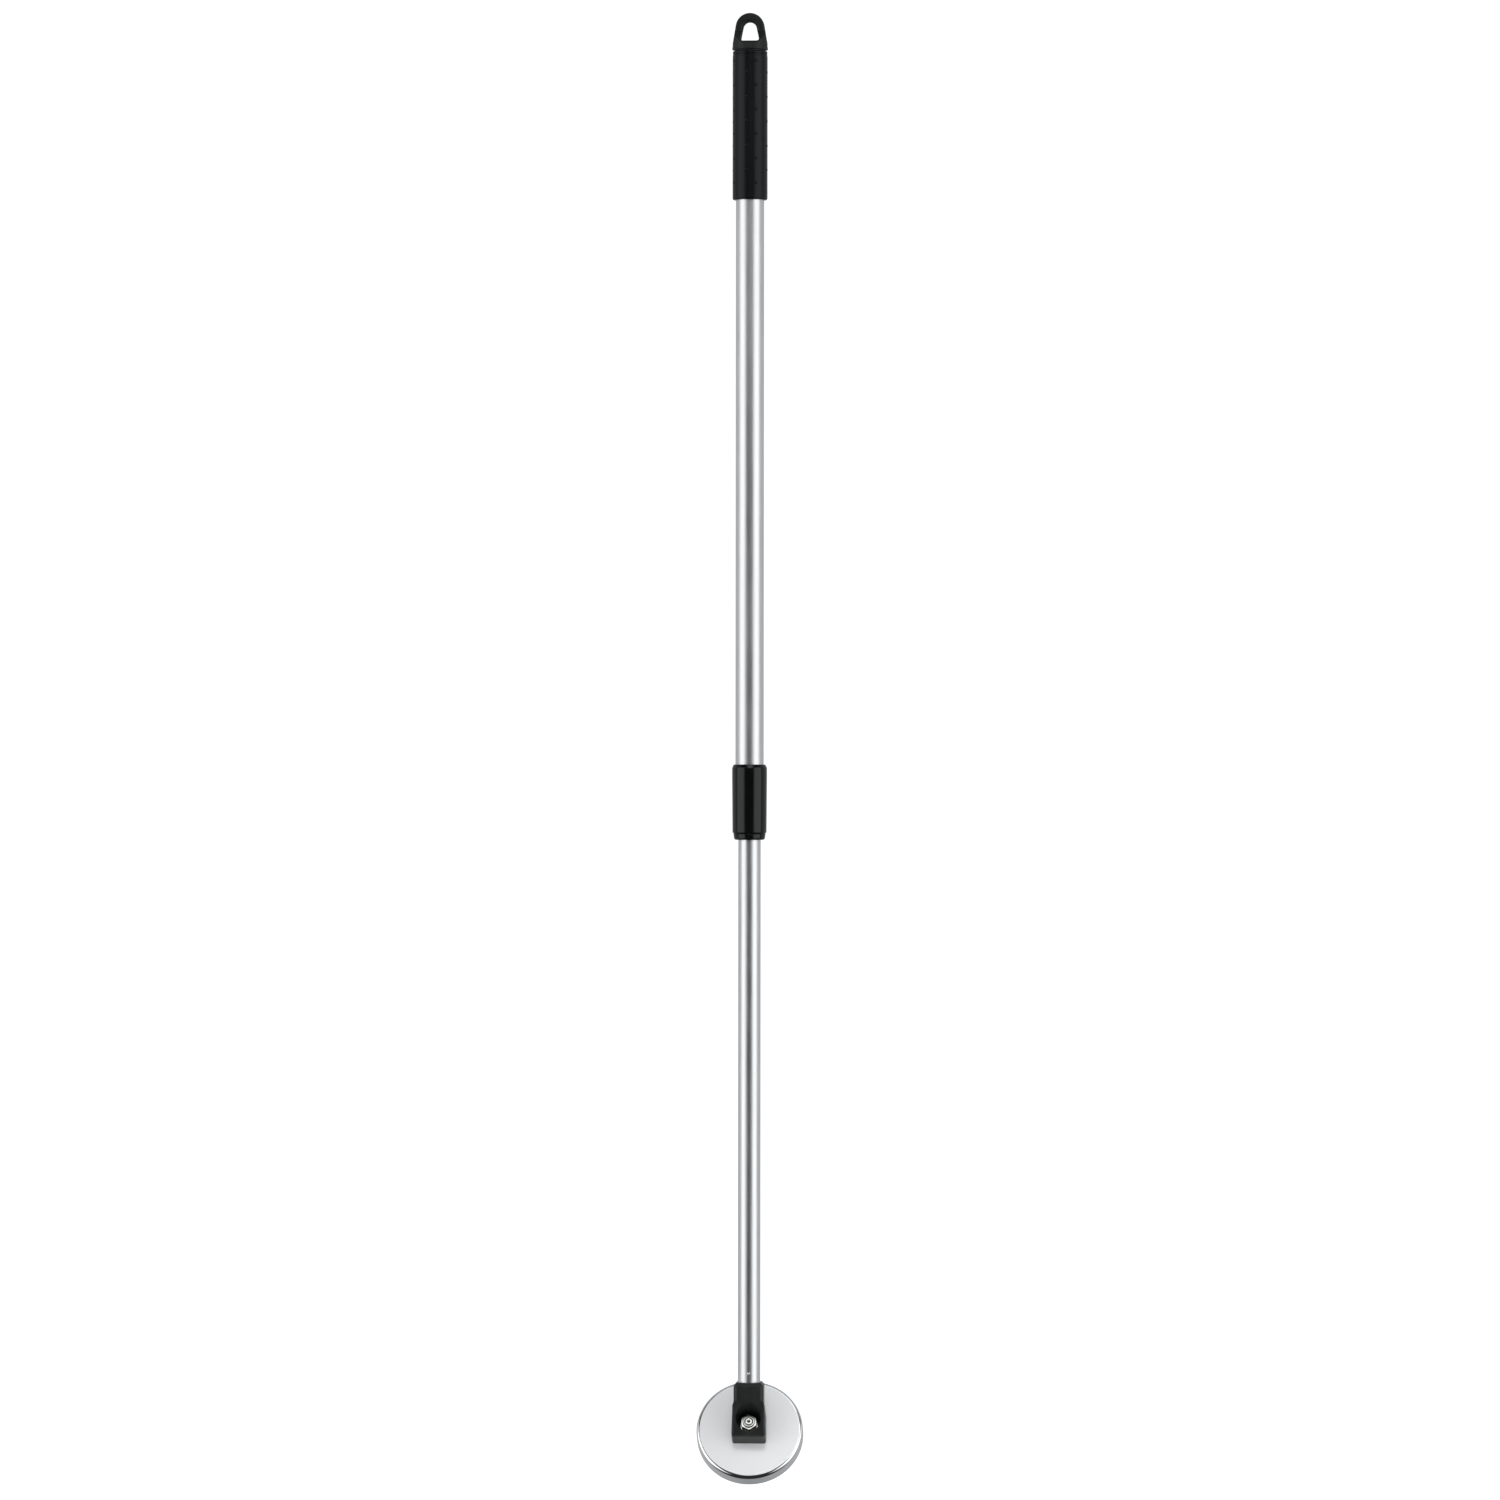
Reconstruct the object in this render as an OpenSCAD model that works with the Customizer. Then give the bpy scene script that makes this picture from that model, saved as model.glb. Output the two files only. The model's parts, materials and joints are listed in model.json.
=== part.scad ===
// Magnetic pickup tool: a telescoping pole with a hanging eye at the top and a
// round pot magnet on an angled socket at the bottom, drawn pulled out and locked.
// +Z runs up the pole. The origin is where a hook bears, on the underside of the
// eye's arch. The magnet's plated top looks towards -Y and up, its working face
// towards +Y and down. All sizes are in millimetres.

/* [Pole] */
// Outside diameter of the upper tube
upper_tube_d = 19.5; // [19.3:0.1:20]
// Outside diameter of the lower tube
lower_tube_d = 15.5; // [15:0.1:15.6]
// Wall thickness of both tubes
tube_wall = 1; // [0.9:0.1:1.1]
// Bare length of the upper tube, from grip to collar
upper_bare = 389.4; // [380:0.1:600]
// Bare length of the lower tube, from collar to magnet socket, pulled out
lower_bare = 374.1; // [370:0.1:450]

/* [Hanging cap] */
// Radius of the cap's round base
cap_r = 12.4; // [12.3:0.1:12.8]
// Height of the base under the eye
cap_base_h = 5.7; // [5.6:0.1:8]
// Height of the eye, from its floor to the arch
eye_h = 13.4; // [12:0.1:18]
// Outside radius of the eye's arch
arch_r = 9.9; // [9.5:0.1:10.2]
// Thickness of the arch over the eye
arch_h = 6.3; // [5.5:0.1:6.5]
// Depth of the arch, front to back
band_depth = 9; // [7:0.1:10]
// Angle by which the outside of the legs spreads
leg_flare = 9.6; // [7:0.1:10]
// Radius of the eye's rounded top
eye_r = 4.6; // [4.4:0.1:5]
// Angle by which the eye's sides spread
eye_flare = 12; // [9:0.5:13]
// Length of the plug that goes into the tube
cap_plug_len = 26; // [15:1:40]

/* [Grip] */
// Outside radius of the grip sleeve
grip_r = 12.05; // [12:0.05:12.25]
// Length of the grip sleeve
grip_len = 102.6; // [100:0.1:140]
// Number of pairs of nub columns round the grip
nub_pairs = 4; // [3:1:5]
// Angle between the two columns of a pair
nub_pair_angle = 36; // [30:1:36]
// Distance between nubs in a column
nub_pitch = 16.8; // [16:0.1:17]
// Radius of a nub where it leaves the grip
nub_r = 1.25; // [0.8:0.05:1.4]
// Height that a nub stands proud
nub_h = 0.5; // [0.3:0.05:0.6]

/* [Collar] */
// Largest radius of the collar, near its top
collar_r_top = 12.05; // [11.9:0.01:12.4]
// Radius of the collar at its lower end
collar_r_low = 11.75; // [11.6:0.01:11.9]
// Length of the collar
collar_len = 47.8; // [40:0.1:60]
// Length of the bush's nose below the collar
nose_len = 4.2; // [3.5:0.1:5]

/* [Twist lock] */
// Diameter of the lock's threaded stud
stud_d = 8; // [7:0.1:8]
// Length of the plug pressed into the lower tube
plug_len = 24; // [20:1:30]
// Length of the slotted expander sleeve
expander_len = 34; // [32:1:40]
// Number of fingers the expander is cut into
fingers = 4; // [4:2:6]
// Distance the cone nut moves in half a turn
cone_travel = 1.5; // [1:0.1:1.5]

/* [Magnet head] */
// Angle between the pole and the magnet's plane
head_angle = 30; // [28:0.5:32]
// Radius of the magnet cup
cup_r = 36.85; // [35:0.05:40]
// Thickness of the magnet cup
cup_h = 11.5; // [11:0.1:13]
// Rounding of the cup's top edge
cup_fillet = 2.2; // [1:0.1:2.2]
// Thickness of the cup's sheet
cup_wall = 2.4; // [2.2:0.1:2.6]
// Outside radius of the ring magnet
ring_r = 33; // [31:0.1:33]
// Inside radius of the ring magnet
ring_bore_r = 15; // [14:0.1:17]
// Radius of the steel centre pole
pole_r = 12; // [10:0.1:12.5]
// Width of the bracket's socket, side to side and front to back
socket_w = 20.6; // [20.2:0.1:21]
// Half width of the bracket's foot on the magnet
foot_half_w = 11.7; // [11.5:0.1:12]
// Diameter of the nut pocket
pocket_d = 17.5; // [16.5:0.1:18]

/* [Hidden] */

$fn = 96;
eps = 0.01;
fit = 0.05;          // radial gap of a press or running fit
clear = 0.3;         // gap between faces that pass each other
over = 40;           // overshoot of a cutting shape

// Heights along the pole
arch_z = arch_h - arch_r;                // middle of the arch's outer circle
cap_foot_z = -(eye_h + cap_base_h);
groove_h = 0.9;
grip_top_z = cap_foot_z - groove_h;
grip_low_z = grip_top_z - grip_len;
collar_top_z = grip_low_z - upper_bare;
collar_low_z = collar_top_z - collar_len;
nose_low_z = collar_low_z - nose_len;
rim_z = nose_low_z - lower_bare;

// Tubes
upper_r = upper_tube_d / 2;
upper_bore_r = upper_r - tube_wall;
lower_r = lower_tube_d / 2;
lower_bore_r = lower_r - tube_wall;
bush_step = 4.3;                         // flange of the bush inside the collar
upper_tube_low_z = collar_low_z + bush_step;
bush_top_z = collar_top_z - 1.1;
dimple_r = 1.5;
dimple_depth = 0.4;
dimple_z = rim_z + 6.8;

// Twist lock, stacked up from the top end of the lower tube
plug_z = bush_top_z + clear;
plug_flange_h = 3;
washer_h = 1;
expander_z = plug_z + plug_flange_h + washer_h + clear;
expander_top_z = expander_z + expander_len;
stud_r = stud_d / 2;
pin_r = 1.25;
pin_z = plug_z - 9;
slot_w = 1.8;
slot_floor_z = expander_z + 10;
expander_bore_r = stud_r + 0.5;
mouth_low_z = expander_z + 16;
mouth_top_r = 7.2;
ring_z = expander_z + 5;
drag_ring_minor = 0.75;
drag_ring_major = upper_bore_r - fit - drag_ring_minor;
cone_gap = 0.08;
cone_head_h = 3;
cone_head_z = expander_top_z + clear;
clip_h = 1;
clip_z = cone_head_z + cone_head_h + cone_travel + clear;
clip_neck_r = stud_r - 0.8;
stud_top_z = clip_z + clip_h + 1.5;

// Magnet head: its own axes have X across, Y up the magnet's face and Z out of
// the plated top, with the origin at the middle of that top
axis_h = 8;                              // pole axis above the cup's middle
socket_reach = 29.05;                    // from there up the pole to the rim
head_y = axis_h * cos(head_angle);
head_z = rim_z - socket_reach - axis_h * sin(head_angle);
socket_floor_z = rim_z - 12.75;
half_socket = socket_w / 2;
foot_low = -11.1;
foot_high = 9.5;
front_h = axis_h + half_socket / cos(head_angle); // socket's front over the middle
slope = tan(head_angle);
pocket_floor_h = 5.4;
head_washer_h = 1.2;
nut_h = pocket_floor_h + head_washer_h;
nut_af = 10;
nut_hex_h = 4.9;
nut_collar_h = 1.1;
nut_collar_r = 4.2;
nut_turn = 35;                           // a corner near the foot's lower end
bolt_r = 3;
bolt_head_r = 6;
bolt_head_h = 3.3;
bolt_top_h = nut_h + nut_hex_h + nut_collar_h + 0.3;
insert_r = 3.6;
insert_seat = 0.9;                       // how far the insert reaches into the hexagon
nut_roll_h = 0.25;                       // lip rolled over the insert
screw_z = rim_z - 6;
screw_r = 1.6;
screw_head_r = 3;

// Puts a shape that is drawn on the magnet's own axes in place
module on_head() {
    translate([0, head_y, head_z])
        rotate([90 - head_angle, 0, 0])
            children();
}

function unit(v) = v / norm(v);

// A polygon whose outward corners have the given radii, with true arcs; 0 is sharp
module rounded_polygon(points, radii) {
    n = len(points);
    corners = [
        for (i = [0 : n - 1])
            let (
                p = points[i],
                a = unit(points[(i + n - 1) % n] - p),
                b = unit(points[(i + 1) % n] - p),
                half = acos(a * b) / 2,
                r = radii[i]
            )
            [p + a * r / tan(half), p + b * r / tan(half), p + unit(a + b) * r / sin(half), r]
    ];
    polygon([for (c = corners) each (c[3] > 0 ? [c[0], c[1]] : [c[0]])]);
    for (c = corners)
        if (c[3] > 0)
            translate(c[2]) corner_sector(c[0] - c[2], c[1] - c[2], c[3]);
}

// The part of a circle about the origin that lies between two of its radii
module corner_sector(from, to, r) {
    intersection() {
        circle(r = r);
        polygon([[0, 0], from * 2, (from + to) * 2, to * 2]);
    }
}

// A rectangle from low to high corner with all four corners rounded
module rounded_rectangle(low, high, r) {
    rounded_polygon([low, [high.x, low.y], high, [low.x, high.y]], [r, r, r, r]);
}

// A ring round the pole between two heights
module ring(inner_r, outer_r, low_z, high_z) {
    translate([0, 0, low_z])
        difference() {
            cylinder(r = outer_r, h = high_z - low_z);
            translate([0, 0, -1]) cylinder(r = inner_r, h = high_z - low_z + 2);
        }
}

// A cross hole through the pole along X
module cross_hole(r, z) {
    translate([-over / 2, 0, z]) rotate([0, 90, 0]) cylinder(r = r, h = over);
}

// ---- handle ----

// Cross sections of the eye's outer band and of its inner lip: x outwards, y front to back
module band_section() {
    half = band_depth / 2;
    rounded_polygon(
        [[arch_r - 3.4, -half], [arch_r, -half], [arch_r, half], [arch_r - 3.4, half]],
        [0, 1.6, 1.6, 0]
    );
}

module lip_section() {
    half = band_depth / 2 - 0.2;
    rounded_polygon(
        [[eye_r, -half], [eye_r + 3.4, -half], [eye_r + 3.4, half], [eye_r, half]],
        [2.4, 0, 0, 2.4]
    );
}

// Carries a section round an arch about mid_z and down two spreading legs
module horseshoe(mid_z, flare) {
    translate([0, 0, mid_z]) {
        rotate([90, 0, 0])
            rotate([0, 0, flare])
                rotate_extrude(angle = 180 - 2 * flare)
                    children();
        for (side = [0, 1])
            mirror([side, 0, 0])
                rotate([0, -flare, 0])
                    translate([0, 0, -eye_h])
                        linear_extrude(eye_h) children();
    }
}

module eye_loop() {
    horseshoe(arch_z, leg_flare) band_section();
    horseshoe(-eye_r, eye_flare) lip_section();
}

// Half width of spreading legs at a height, on a line that is offset r from mid_z
function leg_x(r, mid_z, flare, z) = (r - (z - mid_z) * sin(flare)) / cos(flare);

// The cap's shoulders: round below, drawn in to the legs' depth above, with the eye cut out
module cap_shoulders() {
    top_half = 3;
    top_z = arch_z - 1.2;
    full_z = cap_foot_z + 3.4;
    low_x = leg_x(arch_r - 0.3, arch_z, leg_flare, cap_foot_z);
    top_x = leg_x(arch_r - 0.3, arch_z, leg_flare, top_z);
    floor_x = leg_x(eye_r + 0.3, -eye_r, eye_flare, -eye_h);
    open_x = leg_x(eye_r + 0.3, -eye_r, eye_flare, 0);
    intersection() {
        translate([0, over / 2, 0])
            rotate([90, 0, 0])
                linear_extrude(over)
                    difference() {
                        polygon([
                            [-low_x, cap_foot_z], [low_x, cap_foot_z],
                            [top_x, top_z], [-top_x, top_z]
                        ]);
                        rounded_polygon(
                            [[-floor_x, -eye_h], [floor_x, -eye_h], [open_x, 0], [-open_x, 0]],
                            [1.6, 1.6, 0, 0]
                        );
                    }
        translate([-over / 2, 0, 0])
            rotate([90, 0, 90])
                linear_extrude(over)
                    rounded_polygon(
                        [
                            [-cap_r, cap_foot_z], [cap_r, cap_foot_z], [cap_r, full_z],
                            [top_half, top_z], [-top_half, top_z], [-cap_r, full_z]
                        ],
                        [0, 0, 9, 0, 0, 9]
                    );
        rotate_extrude()
            rounded_polygon(
                [[0, over], [0, cap_foot_z], [cap_r, cap_foot_z], [cap_r, over]],
                [0, 0, 0.5, 0]
            );
    }
}

// Plug inside the tube, with the neck that shows in the groove above the grip
module cap_plug() {
    plug_r = upper_bore_r - fit;
    neck_r = cap_r - 1.5;
    rotate_extrude()
        rounded_polygon(
            [
                [0, cap_foot_z + eps], [0, grip_top_z - 3], [plug_r - 2.6, grip_top_z - 3],
                [plug_r - 2.6, grip_top_z - cap_plug_len], [plug_r, grip_top_z - cap_plug_len],
                [plug_r, grip_top_z], [neck_r, grip_top_z], [neck_r, cap_foot_z + eps]
            ],
            [0, 0, 0, 0.6, 1, 0, 0, 0]
        );
}

module hang_cap() {
    color("#222426") {
        intersection() {
            eye_loop();
            translate([0, 0, -over / 2]) cylinder(r = cap_r, h = over);
        }
        cap_shoulders();
        cap_plug();
    }
}

// A column of nubs, proud of the grip, its first one some way below the grip's top
module nub_column(angle, drop, count) {
    sphere_r = (nub_r * nub_r + nub_h * nub_h) / (2 * nub_h);
    rotate([0, 0, angle])
        for (i = [0 : count - 1])
            translate([0, -(grip_r + nub_h - sphere_r), grip_top_z - drop - i * nub_pitch])
                sphere(r = sphere_r, $fn = 32);
}

module grip_sleeve() {
    long_angle = 23.6;
    long_drop = 7;
    pair_step = 7.8;
    long_count = 6;
    lip = 0.12;
    color("#1c1e20")
        union() {
            rotate_extrude()
                rounded_polygon(
                    [
                        [upper_r + fit, grip_top_z], [upper_r + fit, grip_low_z],
                        [grip_r, grip_low_z], [grip_r, grip_top_z - 3.7],
                        [grip_r - lip, grip_top_z - 3.5], [grip_r - lip, grip_top_z - 2.4],
                        [grip_r - 0.4, grip_top_z - 2.2], [grip_r - 0.4, grip_top_z - 2],
                        [grip_r - lip, grip_top_z - 1.8], [grip_r - lip, grip_top_z]
                    ],
                    [0, 0, 1.2, 0, 0, 0, 0, 0, 0, 0.7]
                );
            difference() {
                for (pair = [0 : nub_pairs - 1]) {
                    angle = long_angle + pair * 360 / nub_pairs;
                    nub_column(angle, long_drop, long_count);
                    nub_column(angle - nub_pair_angle, long_drop + pair_step, long_count - 1);
                }
                translate([0, 0, grip_low_z]) cylinder(r = grip_r - 0.5, h = grip_len);
            }
        }
}

module upper_tube() {
    color("#c9cbcd") ring(upper_bore_r, upper_r, upper_tube_low_z, grip_top_z);
}

module collar() {
    color("#151718")
        rotate_extrude()
            rounded_polygon(
                [
                    [upper_r + fit, collar_top_z], [upper_r + fit, collar_low_z],
                    [collar_r_low, collar_low_z], [collar_r_top, collar_top_z - 10],
                    [collar_r_top, collar_top_z - 2.4], [collar_r_top - 1.1, collar_top_z]
                ],
                [0, 0, 1.5, 0, 2, 0.6]
            );
}

// Split bush that guides the lower tube, with a rounded nose below the collar
module guide_bush() {
    bore_r = lower_r + fit;
    color("#191b1c")
        difference() {
            rotate_extrude()
                rounded_polygon(
                    [
                        [bore_r, bush_top_z], [bore_r, nose_low_z],
                        [collar_r_low - 1.2, nose_low_z], [collar_r_low - 0.6, collar_low_z],
                        [upper_r, collar_low_z], [upper_r, upper_tube_low_z],
                        [upper_bore_r - fit, upper_tube_low_z], [upper_bore_r - fit, bush_top_z]
                    ],
                    [0, 0.5, 1.6, 0.3, 0, 0, 0, 0]
                );
            translate([-0.5, 0, upper_tube_low_z + 4]) cube([1, over, over * 2]);
        }
}

// ---- twist lock ----

module expander_sleeve() {
    outer_r = upper_bore_r - fit;
    color("#e8e4d6")
        difference() {
            rotate_extrude()
                polygon([
                    [expander_bore_r, expander_z], [outer_r, expander_z],
                    [outer_r, expander_top_z], [mouth_top_r, expander_top_z],
                    [expander_bore_r, mouth_low_z]
                ]);
            for (i = [0 : fingers / 2 - 1])
                rotate([0, 0, i * 360 / fingers])
                    translate([-over / 2, -slot_w / 2, slot_floor_z])
                        cube([over, slot_w, over]);
            ring(drag_ring_major - drag_ring_minor - fit, over, ring_z - 0.9, ring_z + 0.9);
        }
}

module drag_ring() {
    color("#2b2b2b")
        translate([0, 0, ring_z])
            rotate_extrude()
                translate([drag_ring_major, 0]) circle(r = drag_ring_minor);
}

// Wedge that the stud draws into the expander, with two fins that ride in its slots
module cone_nut() {
    cone_top_z = cone_head_z + cone_head_h;
    bore_r = stud_r + fit;
    mouth_slope = (mouth_top_r - expander_bore_r) / (expander_top_z - mouth_low_z);
    cone_low_z = mouth_low_z + 3;
    cone_low_r = expander_bore_r + 3 * mouth_slope - cone_gap;
    color("#f0ecdf")
        difference() {
            union() {
                rotate_extrude()
                    rounded_polygon(
                        [
                            [bore_r, cone_top_z], [bore_r, cone_low_z],
                            [cone_low_r, cone_low_z], [mouth_top_r - cone_gap, expander_top_z],
                            [mouth_top_r - cone_gap, cone_head_z],
                            [mouth_top_r + 0.6, cone_head_z], [mouth_top_r + 0.6, cone_top_z]
                        ],
                        [0, 0, 0, 0, 0, 0, 0.6]
                    );
                translate([-(upper_bore_r - 0.5), -slot_w / 2 + clear, expander_top_z - 10])
                    cube([2 * upper_bore_r - 1, slot_w - 2 * clear, 10 + clear + eps]);
            }
            translate([0, 0, cone_low_z - over / 2]) cylinder(r = bore_r, h = 2 * over);
        }
}

module lock_plug() {
    body_r = lower_bore_r - fit;
    flange_r = upper_bore_r - 2 * fit;
    color("#dcd8ca")
        difference() {
            rotate_extrude()
                rounded_polygon(
                    [
                        [stud_r + fit, plug_z + plug_flange_h], [stud_r + fit, plug_z - plug_len],
                        [body_r, plug_z - plug_len], [body_r, plug_z],
                        [flange_r, plug_z], [flange_r, plug_z + plug_flange_h]
                    ],
                    [0, 0, 0.8, 0, 0.3, 0.5]
                );
            cross_hole(pin_r + fit, pin_z);
        }
}

module plug_pin() {
    color("#8d9093")
        intersection() {
            cross_hole(pin_r, pin_z);
            translate([0, 0, pin_z - over / 2]) cylinder(r = lower_r - fit, h = over);
        }
}

module lock_stud() {
    color("#b9bbbd")
        difference() {
            rotate_extrude()
                rounded_polygon(
                    [
                        [0, stud_top_z], [0, plug_z - plug_len + 2],
                        [stud_r, plug_z - plug_len + 2], [stud_r, stud_top_z]
                    ],
                    [0, 0, 0.6, 0.8]
                );
            cross_hole(pin_r + fit, pin_z);
            ring(clip_neck_r, over, clip_z - fit, clip_z + clip_h + fit);
        }
}

module thrust_washer() {
    washer_z = plug_z + plug_flange_h;
    color("#c8c9cb") ring(stud_r + clear, upper_bore_r - 1.2, washer_z, washer_z + washer_h);
}

// Open clip that snaps into the stud's neck and stops the cone nut
module stud_clip() {
    color("#9a9da0")
        difference() {
            ring(clip_neck_r + fit, stud_r + 2.2, clip_z, clip_z + clip_h);
            translate([0, 0, clip_z - 1])
                linear_extrude(clip_h + 2)
                    polygon([[0, 0], [-5, -over], [5, -over]]);
        }
}

// ---- lower tube and magnet head ----

module lower_tube() {
    color("#cfd1d3")
        difference() {
            ring(lower_bore_r, lower_r, socket_floor_z, plug_z);
            cross_hole(pin_r + fit, pin_z);
            screw_way(screw_r + fit);
            translate([0, -(lower_r + dimple_r - dimple_depth), dimple_z])
                sphere(r = dimple_r, $fn = 48);
        }
}

// Straight way for the screw that enters the socket from behind
module screw_way(r) {
    translate([0, 0, screw_z]) rotate([-90, 0, 0]) cylinder(r = r, h = over);
}

// The socket: a rounded square round the pole with bevelled shoulders at its rim
module socket_block() {
    bevel = 2.1;
    top_half = lower_r + 0.7;
    low_z = head_z - over;
    shoulder = [
        [-half_socket, low_z], [half_socket, low_z], [half_socket, rim_z - bevel],
        [top_half, rim_z], [-top_half, rim_z], [-half_socket, rim_z - bevel]
    ];
    radii = [0, 0, 1.2, 0.5, 0.5, 1.2];
    intersection() {
        translate([0, 0, low_z])
            linear_extrude(rim_z - low_z)
                rounded_rectangle([-half_socket, -half_socket], [half_socket, half_socket], 3);
        translate([0, over / 2, 0])
            rotate([90, 0, 0])
                linear_extrude(over) rounded_polygon(shoulder, radii);
        rotate([0, 0, 90])
            translate([0, over / 2, 0])
                rotate([90, 0, 0])
                    linear_extrude(over) rounded_polygon(shoulder, radii);
    }
}

// The foot: a wider block over the bolt whose sides draw in towards the pole
module foot_block() {
    top_z = rim_z - 15.2;
    wide_z = head_z - 3;
    low_z = head_z - foot_half_w;
    top_half = foot_half_w - 0.7;
    intersection() {
        on_head()
            linear_extrude(over)
                rounded_rectangle([-foot_half_w, foot_low], [foot_half_w, foot_high], 1.8);
        translate([0, 0, low_z - 1])
            linear_extrude(over * 2)
                rounded_rectangle([-foot_half_w, -half_socket], [foot_half_w, over], 1.8);
        translate([0, over, 0])
            rotate([90, 0, 0])
                linear_extrude(over * 2)
                    polygon([
                        [-foot_half_w, low_z], [foot_half_w, low_z], [foot_half_w, wide_z],
                        [top_half, top_z], [half_socket - 0.3, top_z + 3],
                        [0.3 - half_socket, top_z + 3], [-top_half, top_z],
                        [-foot_half_w, wide_z]
                    ]);
    }
}

// Limits of the bracket seen from the side: magnet face, end wall and sloping front
module bracket_side() {
    reach = 2 * over;
    on_head()
        translate([-over / 2, 0, 0])
            rotate([90, 0, 90])
                linear_extrude(over)
                    rounded_polygon(
                        [
                            [foot_low, 0], [reach, 0], [reach, front_h + reach * slope],
                            [foot_low, front_h + foot_low * slope]
                        ],
                        [0.4, 0, 0, 4.5]
                    );
}

module bracket() {
    color("#222425")
        difference() {
            intersection() {
                union() {
                    socket_block();
                    foot_block();
                }
                bracket_side();
            }
            translate([0, 0, socket_floor_z]) cylinder(r = lower_r + fit, h = over);
            on_head() {
                translate([0, 0, pocket_floor_h]) cylinder(d = pocket_d, h = over);
                translate([0, 0, -1]) cylinder(r = bolt_r + 0.2, h = over);
            }
            screw_way(screw_r + fit);
        }
}

// Self-tapping screw from behind, through socket and tube
module bracket_screw() {
    color("#8f9295")
        translate([0, 0, screw_z])
            rotate([-90, 0, 0])
                difference() {
                    rotate_extrude()
                        rounded_polygon(
                            [
                                [0, half_socket - 8], [0.5, half_socket - 8],
                                [screw_r, half_socket - 6.5], [screw_r, half_socket],
                                [screw_head_r, half_socket], [screw_head_r, half_socket + 1.9],
                                [0, half_socket + 1.9]
                            ],
                            [0, 0, 0, 0, 0.2, 1.2, 0]
                        );
                    for (turn = [0, 90])
                        rotate([0, 0, turn])
                            translate([-1.6, -0.35, half_socket + 0.8]) cube([3.2, 0.7, 3]);
                }
}

// Flat-headed bolt from the working face, its end just through the nut
module head_bolt() {
    color("#c4c6c8")
        on_head()
            difference() {
                rotate_extrude()
                    rounded_polygon(
                        [
                            [0, bolt_top_h], [0, -cup_h], [bolt_head_r, -cup_h],
                            [bolt_head_r, 0.4 - cup_h], [bolt_r, bolt_head_h - cup_h],
                            [bolt_r, bolt_top_h]
                        ],
                        [0, 0, 0, 0, 0, 0.9]
                    );
                translate([0, 0, bolt_top_h - 3]) cylinder(r = 1.2, h = 4);
            }
}

module head_washer() {
    color("#c4c6c8")
        on_head()
            ring(bolt_r + 0.2, 6, pocket_floor_h, pocket_floor_h + head_washer_h);
}

// Self-locking nut: chamfered hexagon with a rolled collar that holds the insert
module lock_nut() {
    corner_r = nut_af / 2 / cos(30);
    hex_top = nut_h + nut_hex_h;
    collar_top = hex_top + nut_collar_h;
    color("#d0d1d2")
        on_head()
            difference() {
                union() {
                    intersection() {
                        translate([0, 0, nut_h])
                            rotate([0, 0, nut_turn]) cylinder(r = corner_r, h = nut_hex_h, $fn = 6);
                        rotate_extrude()
                            rounded_polygon(
                                [
                                    [0, nut_h], [corner_r - 0.5, nut_h], [corner_r, nut_h + 0.4],
                                    [corner_r, hex_top - 0.2], [corner_r - 0.3, hex_top],
                                    [0, hex_top]
                                ],
                                [0, 0, 0, 0, 0, 0]
                            );
                    }
                    rotate_extrude()
                        rounded_polygon(
                            [
                                [0, nut_h + 1], [nut_collar_r, nut_h + 1],
                                [nut_collar_r, collar_top], [0, collar_top]
                            ],
                            [0, 0, 0.5, 0]
                        );
                }
                translate([0, 0, nut_h - 1]) cylinder(r = bolt_r + fit, h = over);
                translate([0, 0, hex_top - insert_seat])
                    cylinder(r = insert_r, h = insert_seat + nut_collar_h - nut_roll_h);
                translate([0, 0, hex_top]) cylinder(r = insert_r - 0.25, h = over);
            }
}

module nylon_insert() {
    hex_top = nut_h + nut_hex_h;
    low_z = hex_top - insert_seat + fit;
    color("#efece2")
        on_head()
            ring(bolt_r + fit, insert_r - fit, low_z, hex_top + nut_collar_h - nut_roll_h - fit);
}

module magnet_cup() {
    color("#e6e8ea")
        on_head()
            rotate_extrude()
                rounded_polygon(
                    [
                        [bolt_r + 0.2, 0], [bolt_r + 0.2, -cup_wall],
                        [cup_r - cup_wall, -cup_wall], [cup_r - cup_wall, -cup_h],
                        [cup_r, -cup_h], [cup_r, 0]
                    ],
                    [0, 0, 0, 0.3, 0.5, cup_fillet]
                );
}

module ring_magnet() {
    color("#4a4b4d")
        on_head()
            rotate_extrude()
                rounded_rectangle(
                    [ring_bore_r, 0.4 - cup_h], [ring_r, -cup_wall - fit / 2], 0.4
                );
}

// Steel centre that carries the bolt's flat head flush with the working face
module pole_piece() {
    color("#b7babd")
        on_head()
            difference() {
                rotate_extrude()
                    rounded_polygon(
                        [[0, -cup_wall], [0, -cup_h], [pole_r, -cup_h], [pole_r, -cup_wall]],
                        [0, 0, 0.4, 0]
                    );
                rotate_extrude()
                    polygon([
                        [0, 1 - cup_wall], [0, -cup_h - 1], [bolt_head_r + fit, -cup_h - 1],
                        [bolt_head_r + fit, 0.4 - cup_h + fit],
                        [bolt_r + 0.2, bolt_head_h - cup_h + 2 * fit], [bolt_r + 0.2, 1 - cup_wall]
                    ]);
            }
}

// Resin that holds the magnet, in the gaps outside and inside it
module potting_rings() {
    low = 0.5 - cup_h;
    high = -cup_wall - 0.3;
    color("#34373a")
        on_head() {
            ring(ring_r + fit / 2, cup_r - cup_wall - fit / 2, low, high);
            ring(pole_r + fit / 2, ring_bore_r - fit / 2, low, high);
        }
}

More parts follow.
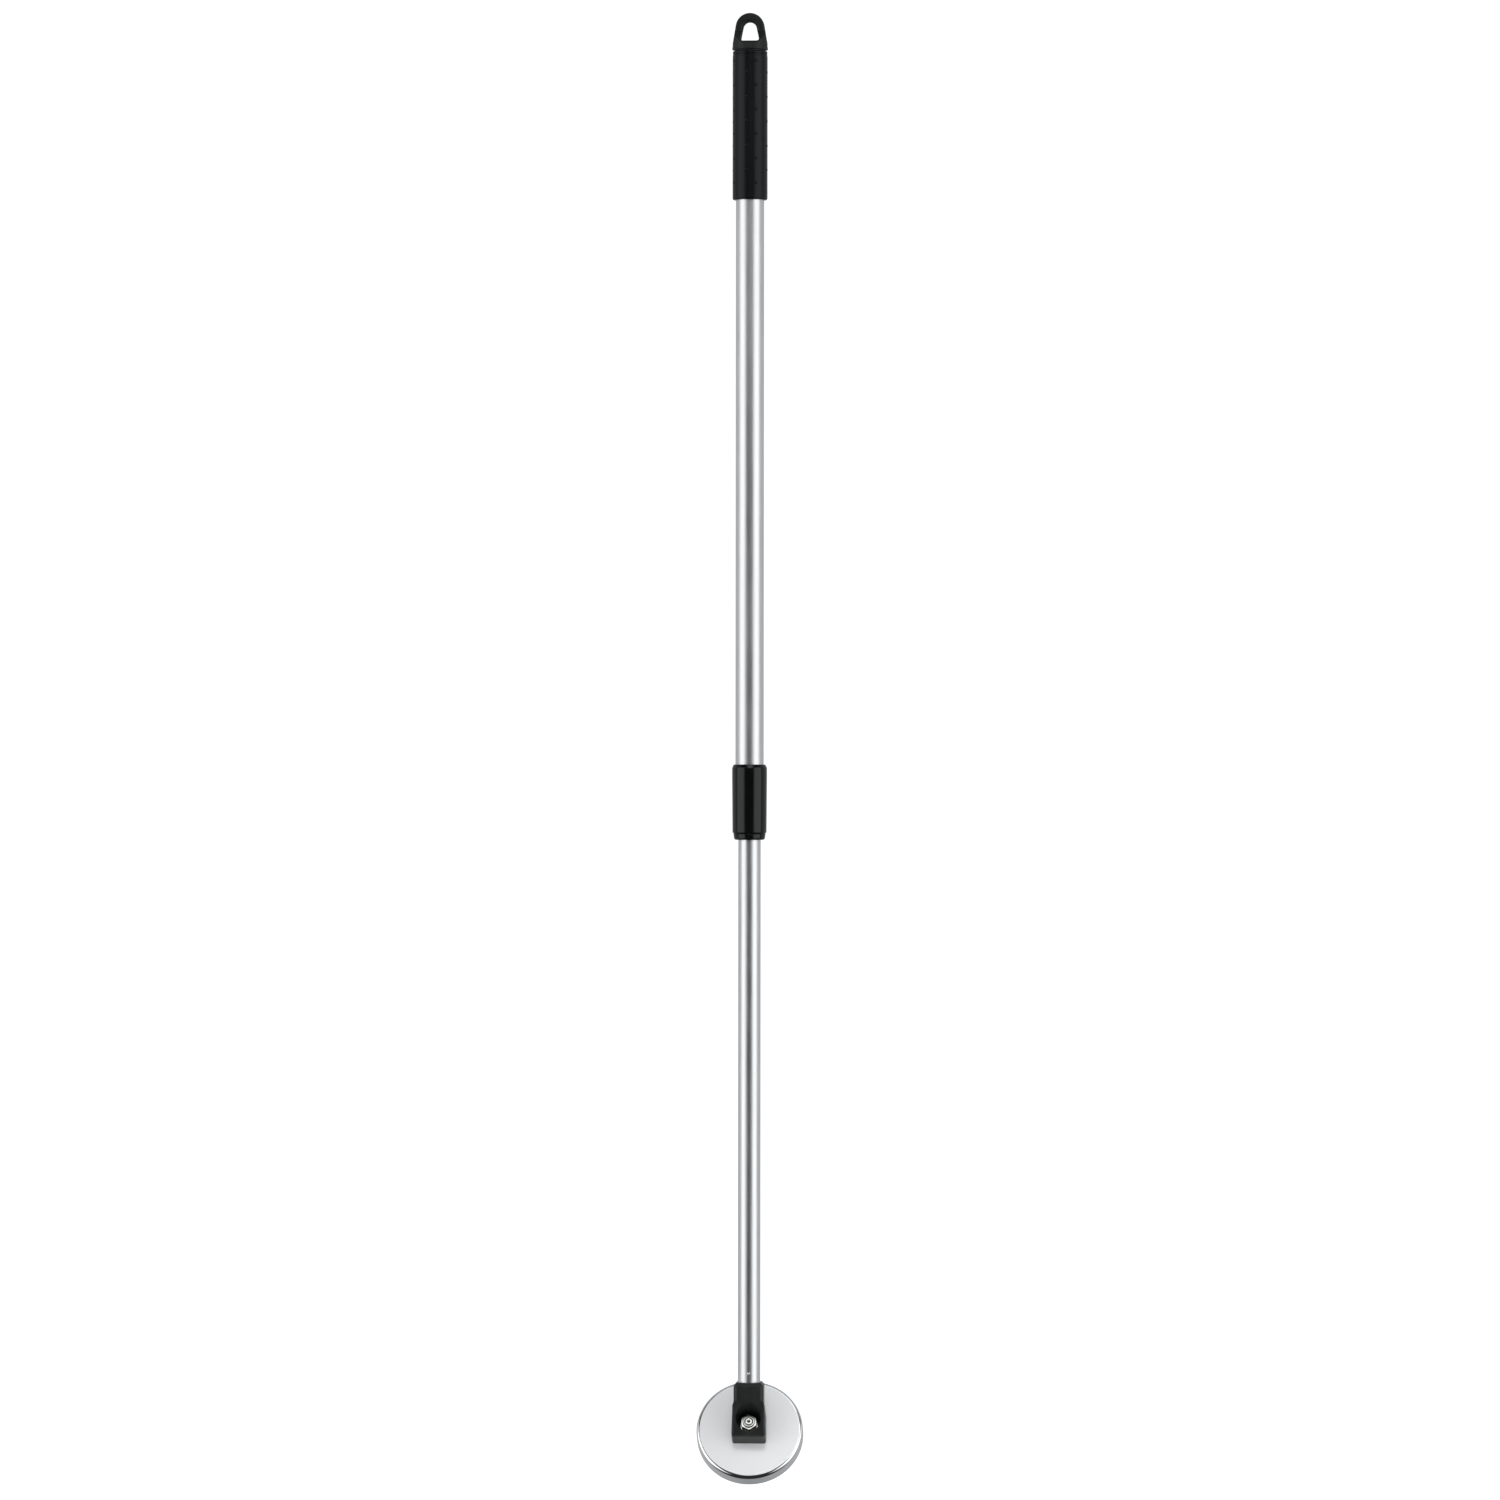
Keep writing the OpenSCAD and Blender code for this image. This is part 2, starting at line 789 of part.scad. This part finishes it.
hang_cap();
grip_sleeve();
upper_tube();
collar();
guide_bush();
expander_sleeve();
drag_ring();
cone_nut();
lower_tube();
lock_plug();
plug_pin();
lock_stud();
thrust_washer();
stud_clip();
bracket();
bracket_screw();
head_bolt();
head_washer();
lock_nut();
nylon_insert();
magnet_cup();
ring_magnet();
pole_piece();
potting_rings();
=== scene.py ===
import json
import math

import bpy
from mathutils import Matrix, Vector


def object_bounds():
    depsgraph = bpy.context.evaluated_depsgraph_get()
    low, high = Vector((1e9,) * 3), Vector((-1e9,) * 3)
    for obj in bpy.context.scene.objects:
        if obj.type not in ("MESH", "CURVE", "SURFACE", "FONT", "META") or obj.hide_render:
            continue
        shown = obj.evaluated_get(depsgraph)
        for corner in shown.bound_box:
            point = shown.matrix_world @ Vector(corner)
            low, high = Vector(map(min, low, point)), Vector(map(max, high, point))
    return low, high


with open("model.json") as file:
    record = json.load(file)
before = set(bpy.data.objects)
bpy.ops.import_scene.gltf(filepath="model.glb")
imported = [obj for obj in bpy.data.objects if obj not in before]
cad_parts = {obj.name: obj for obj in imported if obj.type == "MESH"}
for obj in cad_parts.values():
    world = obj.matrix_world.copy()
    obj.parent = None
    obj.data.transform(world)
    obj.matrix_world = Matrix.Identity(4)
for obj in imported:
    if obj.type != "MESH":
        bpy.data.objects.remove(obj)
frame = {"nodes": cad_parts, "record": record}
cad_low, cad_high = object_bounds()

nodes = frame["nodes"]
record = frame["record"]
mm = 0.001

# Camera, level with the middle of the tool and a little to its right
CAMERA_DISTANCE = 5.0
CAMERA_AZIMUTH = math.radians(3.0)
CAMERA_ROLL = math.radians(0.05)
CAMERA_AIM = Vector((0.0003, 0, -0.5020))
FRAME_HEIGHT = 1.035             # what the square frame spans at the tool
SENSOR = 36.0

# Magnet head: the working face's mount gives the magnet's axis
MAGNET = next(m for m in record["mounts"] if m["name"] == "magnet_face")
HEAD_NORMAL = -Vector(MAGNET["axis"])
CUP_THICKNESS = 11.5 * mm
FACE_RADIUS = 34.65 * mm         # where the top's flat part ends
DOME_RADIUS = 0.9                # of the top's very slight crown
SATIN_DIFFUSE = 0.86             # how much of the lapped face scatters like paint
SATIN_ROUGHNESS = 0.16           # what lapping adds to the polish
HEAD_TOP = Vector(MAGNET["pos_m"]) + HEAD_NORMAL * CUP_THICKNESS

# Heights of the lights' middle and of the floor
MIDDLE_Z = (cad_low[2] + cad_high[2]) / 2
FLOOR_Z = cad_low[2] - 0.15
FLOOR_SIZE = 120

WHITE = (1.0, 1.0, 1.0)
COOL_WHITE = (0.97, 0.99, 1.0)


# ---- materials ----

class Surface:
    """A Principled material, and short calls that add texture nodes to it."""

    def __init__(self, name, colour, sockets):
        self.material = bpy.data.materials.new(name)
        self.material.use_nodes = True
        self.tree = self.material.node_tree
        self.shader = self.tree.nodes["Principled BSDF"]
        self.shader.inputs["Base Color"].default_value = (*colour, 1)
        for socket, value in sockets.items():
            self.shader.inputs[socket].default_value = value
        self.normal = None

    def node(self, kind, inputs=None, **settings):
        made = self.tree.nodes.new(kind)
        for key, value in settings.items():
            setattr(made, key, value)
        for key, value in (inputs or {}).items():
            if isinstance(value, bpy.types.NodeSocket):
                self.tree.links.new(value, made.inputs[key])
            else:
                made.inputs[key].default_value = value
        return made

    def place(self, stretch=(1, 1, 1)):
        """Object coordinates, with the pattern stretched along an axis whose factor is under 1."""
        where = self.node("ShaderNodeTexCoord").outputs["Object"]
        return self.node("ShaderNodeMapping", {"Vector": where, "Scale": stretch}).outputs["Vector"]

    def place_on_head(self, stretch=(1, 1, 1)):
        """Coordinates on the magnet's own axes: Z out of the plated top, from its middle."""
        tilt = HEAD_NORMAL.rotation_difference(Vector((0, 0, 1)))
        where = self.node("ShaderNodeTexCoord").outputs["Object"]
        turned = self.node("ShaderNodeMapping", {
            "Vector": where, "Rotation": tilt.to_euler(), "Location": -(tilt @ HEAD_TOP),
        }).outputs["Vector"]
        return self.node("ShaderNodeMapping", {"Vector": turned, "Scale": stretch}).outputs["Vector"]

    def radius(self, where):
        """Distance from the Z axis of the given coordinates."""
        flat = self.node("ShaderNodeVectorMath", {0: where, 1: (1, 1, 0)}, operation="MULTIPLY")
        return self.node(
            "ShaderNodeVectorMath", {0: flat.outputs[0]}, operation="LENGTH"
        ).outputs["Value"]

    def noise(self, where, size, detail=3.0, rough=0.5, distortion=0.0):
        return self.node("ShaderNodeTexNoise", {
            "Vector": where, "Scale": 1 / size, "Detail": detail,
            "Roughness": rough, "Distortion": distortion,
        }).outputs["Fac"]

    def cells(self, where, size):
        return self.node(
            "ShaderNodeTexVoronoi", {"Vector": where, "Scale": 1 / size}
        ).outputs["Distance"]

    def span(self, value, start, end, low, high):
        """value from start to end becomes low to high, smoothly, and is held outside."""
        return self.node("ShaderNodeMapRange", {
            "Value": value, "From Min": start, "From Max": end, "To Min": low, "To Max": high,
        }, interpolation_type="SMOOTHSTEP").outputs["Result"]

    def maths(self, operation, a, b):
        return self.node("ShaderNodeMath", {0: a, 1: b}, operation=operation).outputs[0]

    def colour(self, share, first, second):
        """Base colour goes from first to second with share."""
        mixed = self.node("ShaderNodeMix", {
            0: share, 6: (*first, 1), 7: (*second, 1),
        }, data_type="RGBA").outputs[2]
        self.tree.links.new(mixed, self.shader.inputs["Base Color"])

    def roughness(self, value):
        self.tree.links.new(value, self.shader.inputs["Roughness"])

    def metallic(self, value):
        self.tree.links.new(value, self.shader.inputs["Metallic"])

    def bump(self, height, distance, strength=1.0):
        inputs = {"Height": height, "Distance": distance, "Strength": strength}
        if self.normal is not None:
            inputs["Normal"] = self.normal
        self.normal = self.node("ShaderNodeBump", inputs).outputs["Normal"]
        self.tree.links.new(self.normal, self.shader.inputs["Normal"])


def moulded_plastic(name, dark, light, grain, depth, rough):
    """Black plastic with a fine moulded grain, a little cloudy, as from a textured mould."""
    s = Surface(name, dark, {"Specular IOR Level": 0.35})
    fine = s.noise(s.place(), grain, detail=2.5, rough=0.6)
    cloud = s.noise(s.place((1, 1, 0.6)), 9 * mm, detail=4)
    scuff = s.noise(s.place((1, 1, 0.35)), 2.4 * mm, detail=5, rough=0.7, distortion=0.6)
    s.colour(s.span(s.maths("ADD", fine, cloud), 0.8, 1.25, 0, 1), dark, light)
    worn = s.maths("ADD", s.span(cloud, 0.35, 0.65, rough - 0.06, rough + 0.04),
                   s.span(scuff, 0.58, 0.7, 0, 0.06))
    s.roughness(worn)
    s.bump(fine, depth)
    s.bump(cloud, 10 * depth, 0.25)
    return s


def cap_plastic():
    return moulded_plastic(
        "cap_plastic", (0.004, 0.0052, 0.0055), (0.009, 0.0105, 0.011), 0.42 * mm, 0.020 * mm, 0.46
    )


def bracket_plastic():
    """Glass-filled nylon: its pale short fibres show here only as a faint bump in the black."""
    s = moulded_plastic(
        "bracket_plastic", (0.012, 0.0145, 0.0135), (0.020, 0.0235, 0.022), 0.36 * mm, 0.016 * mm, 0.4
    )
    fibres = s.noise(s.place_on_head((1, 0.12, 1)), 0.25 * mm, detail=2, rough=0.4)
    s.bump(s.span(fibres, 0.6, 0.75, 0, 1), 0.008 * mm)
    return s


def grip_rubber():
    """Soft moulded rubber: satin, with a very fine grain and a faint bloom."""
    s = Surface("grip_rubber", (0.005, 0.006, 0.0075), {"Specular IOR Level": 0.27})
    fine = s.noise(s.place(), 0.3 * mm, detail=2)
    bloom = s.noise(s.place((1, 1, 0.3)), 12 * mm, detail=4, rough=0.6)
    s.colour(s.span(bloom, 0.35, 0.7, 0, 1), (0.0008, 0.0014, 0.0024), (0.002, 0.003, 0.0042))
    s.roughness(s.span(s.maths("ADD", fine, bloom), 0.7, 1.3, 0.30, 0.38))
    s.bump(fine, 0.008 * mm)
    s.bump(bloom, 0.05 * mm, 0.3)
    return s


def collar_plastic():
    """Gloss black plastic: a little mould ripple, and the haze of handling."""
    s = Surface("collar_plastic", (0.002, 0.003, 0.0028), {"Specular IOR Level": 0.40})
    ripple = s.noise(s.place(), 3.5 * mm, detail=1.5)
    haze = s.noise(s.place((1, 1, 0.25)), 5 * mm, detail=5, rough=0.65, distortion=0.4)
    hairline = s.noise(s.place((0.04, 0.04, 1)), 0.3 * mm, detail=2)
    s.colour(haze, (0.0015, 0.0024, 0.0022), (0.003, 0.004, 0.0038))
    s.roughness(s.maths("ADD", s.span(haze, 0.35, 0.7, 0.13, 0.2), s.span(hairline, 0.62, 0.7, 0, 0.08)))
    s.bump(ripple, 0.03 * mm, 0.4)
    return s


def tube_aluminium():
    """Drawn and satin-finished aluminium: fine lines along the tube, with a few sliding marks."""
    s = Surface("tube_aluminium", (0.82, 0.83, 0.84), {"Metallic": 1.0, "Anisotropic": 0.0})
    drawn = s.noise(s.place((1, 1, 0.008)), 0.35 * mm, detail=4, rough=0.6)
    haze = s.noise(s.place((1, 1, 0.15)), 7 * mm, detail=4)
    marks = s.noise(s.place((1, 1, 0.003)), 0.16 * mm, detail=1)
    s.colour(s.span(s.maths("ADD", drawn, haze), 0.75, 1.25, 0, 1),
             (0.855, 0.865, 0.875), (0.91, 0.915, 0.92))
    s.roughness(s.maths("ADD", s.span(s.maths("ADD", drawn, haze), 0.7, 1.3, 0.34, 0.42),
                        s.span(marks, 0.7, 0.78, 0, 0.12)))
    s.bump(drawn, 0.0022 * mm)
    s.bump(marks, 0.002 * mm)
    return s


def bright_zinc():
    """Zinc plate: bright, with the faint blue and straw clouds of its passivation."""
    s = Surface("zinc_steel", (0.7, 0.7, 0.68), {"Metallic": 1.0})
    cloud = s.noise(s.place(), 2.2 * mm, detail=3, distortion=0.8)
    fine = s.noise(s.place(), 0.18 * mm, detail=3, rough=0.6)
    s.colour(cloud, (0.76, 0.77, 0.79), (0.82, 0.79, 0.72))
    s.roughness(s.span(s.maths("ADD", cloud, fine), 0.7, 1.3, 0.13, 0.27))
    s.bump(fine, 0.003 * mm)
    return s


def natural_nylon(name, first, second):
    s = Surface(name, first, {
        "Subsurface Weight": 0.15, "Subsurface Scale": 1.5 * mm, "Specular IOR Level": 0.45,
    })
    cloud = s.noise(s.place(), 4 * mm, detail=4)
    fine = s.noise(s.place(), 0.3 * mm, detail=3)
    s.colour(cloud, first, second)
    s.roughness(s.span(s.maths("ADD", cloud, fine), 0.7, 1.3, 0.34, 0.5))
    s.bump(fine, 0.008 * mm)
    return s


def ring_rubber():
    s = Surface("ring_rubber", (0.02, 0.02, 0.02), {"Specular IOR Level": 0.35})
    fine = s.noise(s.place(), 0.2 * mm, detail=3)
    s.colour(fine, (0.016, 0.016, 0.016), (0.03, 0.03, 0.03))
    s.roughness(s.span(fine, 0.3, 0.7, 0.55, 0.75))
    s.bump(fine, 0.012 * mm)
    return s


def cup_chrome():
    """Plated cup: a satin, faintly domed and lapped top inside a polished edge and wall."""
    s = Surface("cup_chrome", (0.90, 0.91, 0.92), {"Metallic": 1.0})
    where = s.place_on_head()
    radius = s.radius(where)
    satin = s.span(radius, FACE_RADIUS - 0.3 * mm, FACE_RADIUS + 0.1 * mm, 1, 0)
    rings = s.noise(s.node("ShaderNodeCombineXYZ", {"X": radius}).outputs[0], 0.25 * mm, detail=3)
    haze = s.noise(where, 14 * mm, detail=4, rough=0.6, distortion=0.5)
    s.colour(haze, (0.93, 0.94, 0.955), (0.95, 0.955, 0.965))
    s.metallic(s.maths("SUBTRACT", 1, s.maths("MULTIPLY", satin, SATIN_DIFFUSE)))
    fine = s.maths("ADD", s.span(rings, 0.3, 0.7, 0.06, 0.09), s.span(haze, 0.4, 0.7, 0, 0.03))
    s.roughness(s.maths("ADD", fine, s.maths("MULTIPLY", satin, SATIN_ROUGHNESS)))
    dome = s.maths("MULTIPLY", s.maths("MULTIPLY", radius, radius), -0.5 / DOME_RADIUS)
    s.bump(dome, 1.0)
    s.bump(rings, 0.0001 * mm)
    return s


def ferrite():
    """Ground ceramic magnet: dark grey, straight grinding lines, small pits."""
    s = Surface("ferrite", (0.06, 0.06, 0.063), {"Specular IOR Level": 0.5})
    lines = s.noise(s.place_on_head((1, 0.015, 1)), 0.3 * mm, detail=4, rough=0.6)
    cloud = s.noise(s.place_on_head(), 6 * mm, detail=5)
    pits = s.cells(s.place_on_head(), 1.3 * mm)
    s.colour(s.maths("ADD", s.maths("MULTIPLY", lines, 0.6), s.maths("MULTIPLY", cloud, 0.4)),
             (0.035, 0.035, 0.038), (0.095, 0.095, 0.1))
    s.roughness(s.span(lines, 0.3, 0.7, 0.38, 0.6))
    s.bump(lines, 0.004 * mm)
    s.bump(s.span(pits, 0.05, 0.16, 0, 1), 0.03 * mm)
    return s


def pole_steel():
    """Steel centre pole, turned and ground: fine rings and light staining."""
    s = Surface("pole_steel", (0.56, 0.57, 0.58), {"Metallic": 1.0})
    where = s.place_on_head()
    rings = s.noise(
        s.node("ShaderNodeCombineXYZ", {"X": s.radius(where)}).outputs[0], 0.2 * mm, detail=3
    )
    stain = s.noise(where, 5 * mm, detail=5, distortion=0.5)
    s.colour(stain, (0.42, 0.42, 0.43), (0.62, 0.62, 0.62))
    s.roughness(s.span(s.maths("ADD", rings, stain), 0.7, 1.3, 0.22, 0.4))
    s.bump(rings, 0.004 * mm)
    return s


def resin():
    """Poured resin: glossy and dark, with a slightly uneven skin and pin bubbles."""
    s = Surface("resin", (0.03, 0.033, 0.037), {"Specular IOR Level": 0.55})
    skin = s.noise(s.place_on_head(), 4 * mm, detail=3)
    bubbles = s.cells(s.place_on_head(), 1.8 * mm)
    s.colour(skin, (0.024, 0.027, 0.031), (0.042, 0.046, 0.05))
    s.roughness(s.span(skin, 0.3, 0.7, 0.12, 0.26))
    s.bump(skin, 0.15 * mm, 0.5)
    s.bump(s.span(bubbles, 0.04, 0.1, 0, 1), 0.05 * mm)
    return s


FINISHES = {
    "cap_plastic": cap_plastic(),
    "grip_rubber": grip_rubber(),
    "tube_aluminium": tube_aluminium(),
    "collar_plastic": collar_plastic(),
    "lock_plastic": natural_nylon("lock_plastic", (0.70, 0.67, 0.56), (0.78, 0.76, 0.67)),
    "ring_rubber": ring_rubber(),
    "zinc_steel": bright_zinc(),
    "bracket_plastic": bracket_plastic(),
    "nut_nylon": natural_nylon("nut_nylon", (0.76, 0.74, 0.67), (0.84, 0.82, 0.77)),
    "cup_chrome": cup_chrome(),
    "ferrite": ferrite(),
    "pole_steel": pole_steel(),
    "resin": resin(),
}

for row in record["subparts"]:
    cad = nodes[row["node"]]
    cad.data.materials.clear()
    cad.data.materials.append(FINISHES[row["material_slot"]].material)


# ---- studio ----

def plane(name, matrix, width, height):
    mesh = bpy.data.meshes.new(name)
    x, y = width / 2, height / 2
    mesh.from_pydata([(-x, -y, 0), (x, -y, 0), (x, y, 0), (-x, y, 0)], [], [(0, 1, 2, 3)])
    made = bpy.data.objects.new(name, mesh)
    bpy.context.scene.collection.objects.link(made)
    made.matrix_world = matrix
    return made


def facing(centre, target):
    """A matrix at centre whose Z axis looks at target, with X level."""
    z = (target - centre).normalized()
    x = Vector((0, 0, 1)).cross(z).normalized()
    return Matrix.Translation(centre) @ Matrix((x, z.cross(x), z)).transposed().to_4x4()


def softbox(name, azimuth, elevation, distance, width, height, strength, tint, edge):
    """A glowing panel round the tool that the camera itself doesn't see. edge is how much
    of each half fades out towards the rim."""
    middle = Vector((0, 0, MIDDLE_Z))
    a, e = math.radians(azimuth), math.radians(elevation)
    way = Vector((math.sin(a) * math.cos(e), -math.cos(a) * math.cos(e), math.sin(e)))
    panel = plane(name, facing(middle + way * distance, middle), width, height)
    panel.visible_camera = False
    m = bpy.data.materials.new(name)
    m.use_nodes = True
    tree = m.node_tree
    tree.nodes.clear()
    glow = tree.nodes.new("ShaderNodeEmission")
    glow.inputs["Color"].default_value = (*tint, 1)
    end = tree.nodes.new("ShaderNodeOutputMaterial")
    tree.links.new(glow.outputs[0], end.inputs["Surface"])
    where = tree.nodes.new("ShaderNodeTexCoord").outputs["Object"]
    parts = tree.nodes.new("ShaderNodeSeparateXYZ")
    tree.links.new(where, parts.inputs[0])
    fades = []
    for axis, size in (("X", width), ("Y", height)):
        away = tree.nodes.new("ShaderNodeMath")
        away.operation = "ABSOLUTE"
        tree.links.new(parts.outputs[axis], away.inputs[0])
        fade = tree.nodes.new("ShaderNodeMapRange")
        fade.interpolation_type = "SMOOTHSTEP"
        fade.inputs["From Min"].default_value = size / 2 * (1 - edge)
        fade.inputs["From Max"].default_value = size / 2
        fade.inputs["To Min"].default_value = strength
        fade.inputs["To Max"].default_value = 0
        tree.links.new(away.outputs[0], fade.inputs["Value"])
        fades.append(fade.outputs["Result"])
    least = tree.nodes.new("ShaderNodeMath")
    least.operation = "MINIMUM"
    tree.links.new(fades[0], least.inputs[0])
    tree.links.new(fades[1], least.inputs[1])
    tree.links.new(least.outputs[0], glow.inputs["Strength"])
    panel.data.materials.append(m)


def studio_world():
    """White behind the tool for the camera. As light it is grey behind, dark on the camera's
    side, and dimmer from below."""
    world = bpy.data.worlds.new("studio")
    bpy.context.scene.world = world
    world.use_nodes = True
    tree = world.node_tree
    tree.nodes.clear()
    add = tree.nodes.new
    way = add("ShaderNodeTexCoord").outputs["Generated"]
    parts = add("ShaderNodeSeparateXYZ")
    tree.links.new(way, parts.inputs[0])
    under = add("ShaderNodeMath")
    under.operation = "MINIMUM"
    tree.links.new(parts.outputs["Z"], under.inputs[0])
    under.inputs[1].default_value = 0
    back = add("ShaderNodeMath")
    back.operation = "MULTIPLY_ADD"
    tree.links.new(under.outputs[0], back.inputs[0])
    back.inputs[1].default_value = 0.6
    tree.links.new(parts.outputs["Y"], back.inputs[2])
    depth = add("ShaderNodeMapRange")
    depth.interpolation_type = "SMOOTHSTEP"
    for key, value in (("From Min", -0.45), ("From Max", 0.25), ("To Min", 0.028), ("To Max", 0.46)):
        depth.inputs[key].default_value = value
    tree.links.new(back.outputs[0], depth.inputs["Value"])
    below = add("ShaderNodeMapRange")
    below.interpolation_type = "SMOOTHSTEP"
    for key, value in (("From Min", -1.0), ("From Max", 0.1), ("To Min", 0.7), ("To Max", 1.0)):
        below.inputs[key].default_value = value
    tree.links.new(parts.outputs["Z"], below.inputs["Value"])
    share = add("ShaderNodeMath")
    share.operation = "MULTIPLY"
    tree.links.new(depth.outputs[0], share.inputs[0])
    tree.links.new(below.outputs[0], share.inputs[1])
    light = add("ShaderNodeBackground")
    light.inputs["Color"].default_value = (0.97, 0.985, 1.0, 1)
    tree.links.new(share.outputs[0], light.inputs["Strength"])
    backdrop = add("ShaderNodeBackground")
    backdrop.inputs["Color"].default_value = (1, 1, 1, 1)
    backdrop.inputs["Strength"].default_value = 1.05
    pick = add("ShaderNodeMixShader")
    tree.links.new(add("ShaderNodeLightPath").outputs["Is Camera Ray"], pick.inputs[0])
    tree.links.new(light.outputs[0], pick.inputs[1])
    tree.links.new(backdrop.outputs[0], pick.inputs[2])
    tree.links.new(pick.outputs[0], add("ShaderNodeOutputWorld").inputs["Surface"])


def floor():
    ground = plane("floor", Matrix.Translation((0, 0, FLOOR_Z)), FLOOR_SIZE, FLOOR_SIZE)
    s = Surface("floor_paper", (0.9, 0.9, 0.9), {
        "Roughness": 0.9, "Specular IOR Level": 0.1,
        "Emission Color": (1, 1, 1, 1), "Emission Strength": 0.85,
    })
    tooth = s.noise(s.place(), 4 * mm, detail=3)
    s.colour(tooth, (0.89, 0.89, 0.89), (0.92, 0.92, 0.92))
    ground.data.materials.append(s.material)
    ground.visible_glossy = False


def camera():
    data = bpy.data.cameras.new("camera")
    made = bpy.data.objects.new("camera", data)
    bpy.context.scene.collection.objects.link(made)
    level = Matrix.Rotation(CAMERA_AZIMUTH, 4, "Z") @ Matrix.Rotation(math.radians(90), 4, "X")
    back = level @ Vector((0, 0, 1))
    made.matrix_world = (
        Matrix.Translation(CAMERA_AIM + back * CAMERA_DISTANCE)
        @ level @ Matrix.Rotation(CAMERA_ROLL, 4, "Z")
    )
    data.sensor_width = SENSOR
    data.lens = SENSOR * CAMERA_DISTANCE / FRAME_HEIGHT
    bpy.context.scene.camera = made


studio_world()
floor()
camera()
# name, azimuth, elevation, distance, width, height, strength, tint, edge
softbox("softbox_left", -60, 0, 2.2, 3.0, 4.2, 1.3, WHITE, 0.5)
softbox("softbox_right", 60, 0, 2.2, 3.0, 4.2, 1.33, WHITE, 0.5)
softbox("softbox_top", 9, 50, 2.42, 2.3, 2.6, 1.7, COOL_WHITE, 0.9)
softbox("softbox_brow", 3, 22, 2.6, 1.4, 0.9, 0.8, COOL_WHITE, 0.6)

bpy.context.scene.view_settings.view_transform = "Standard"
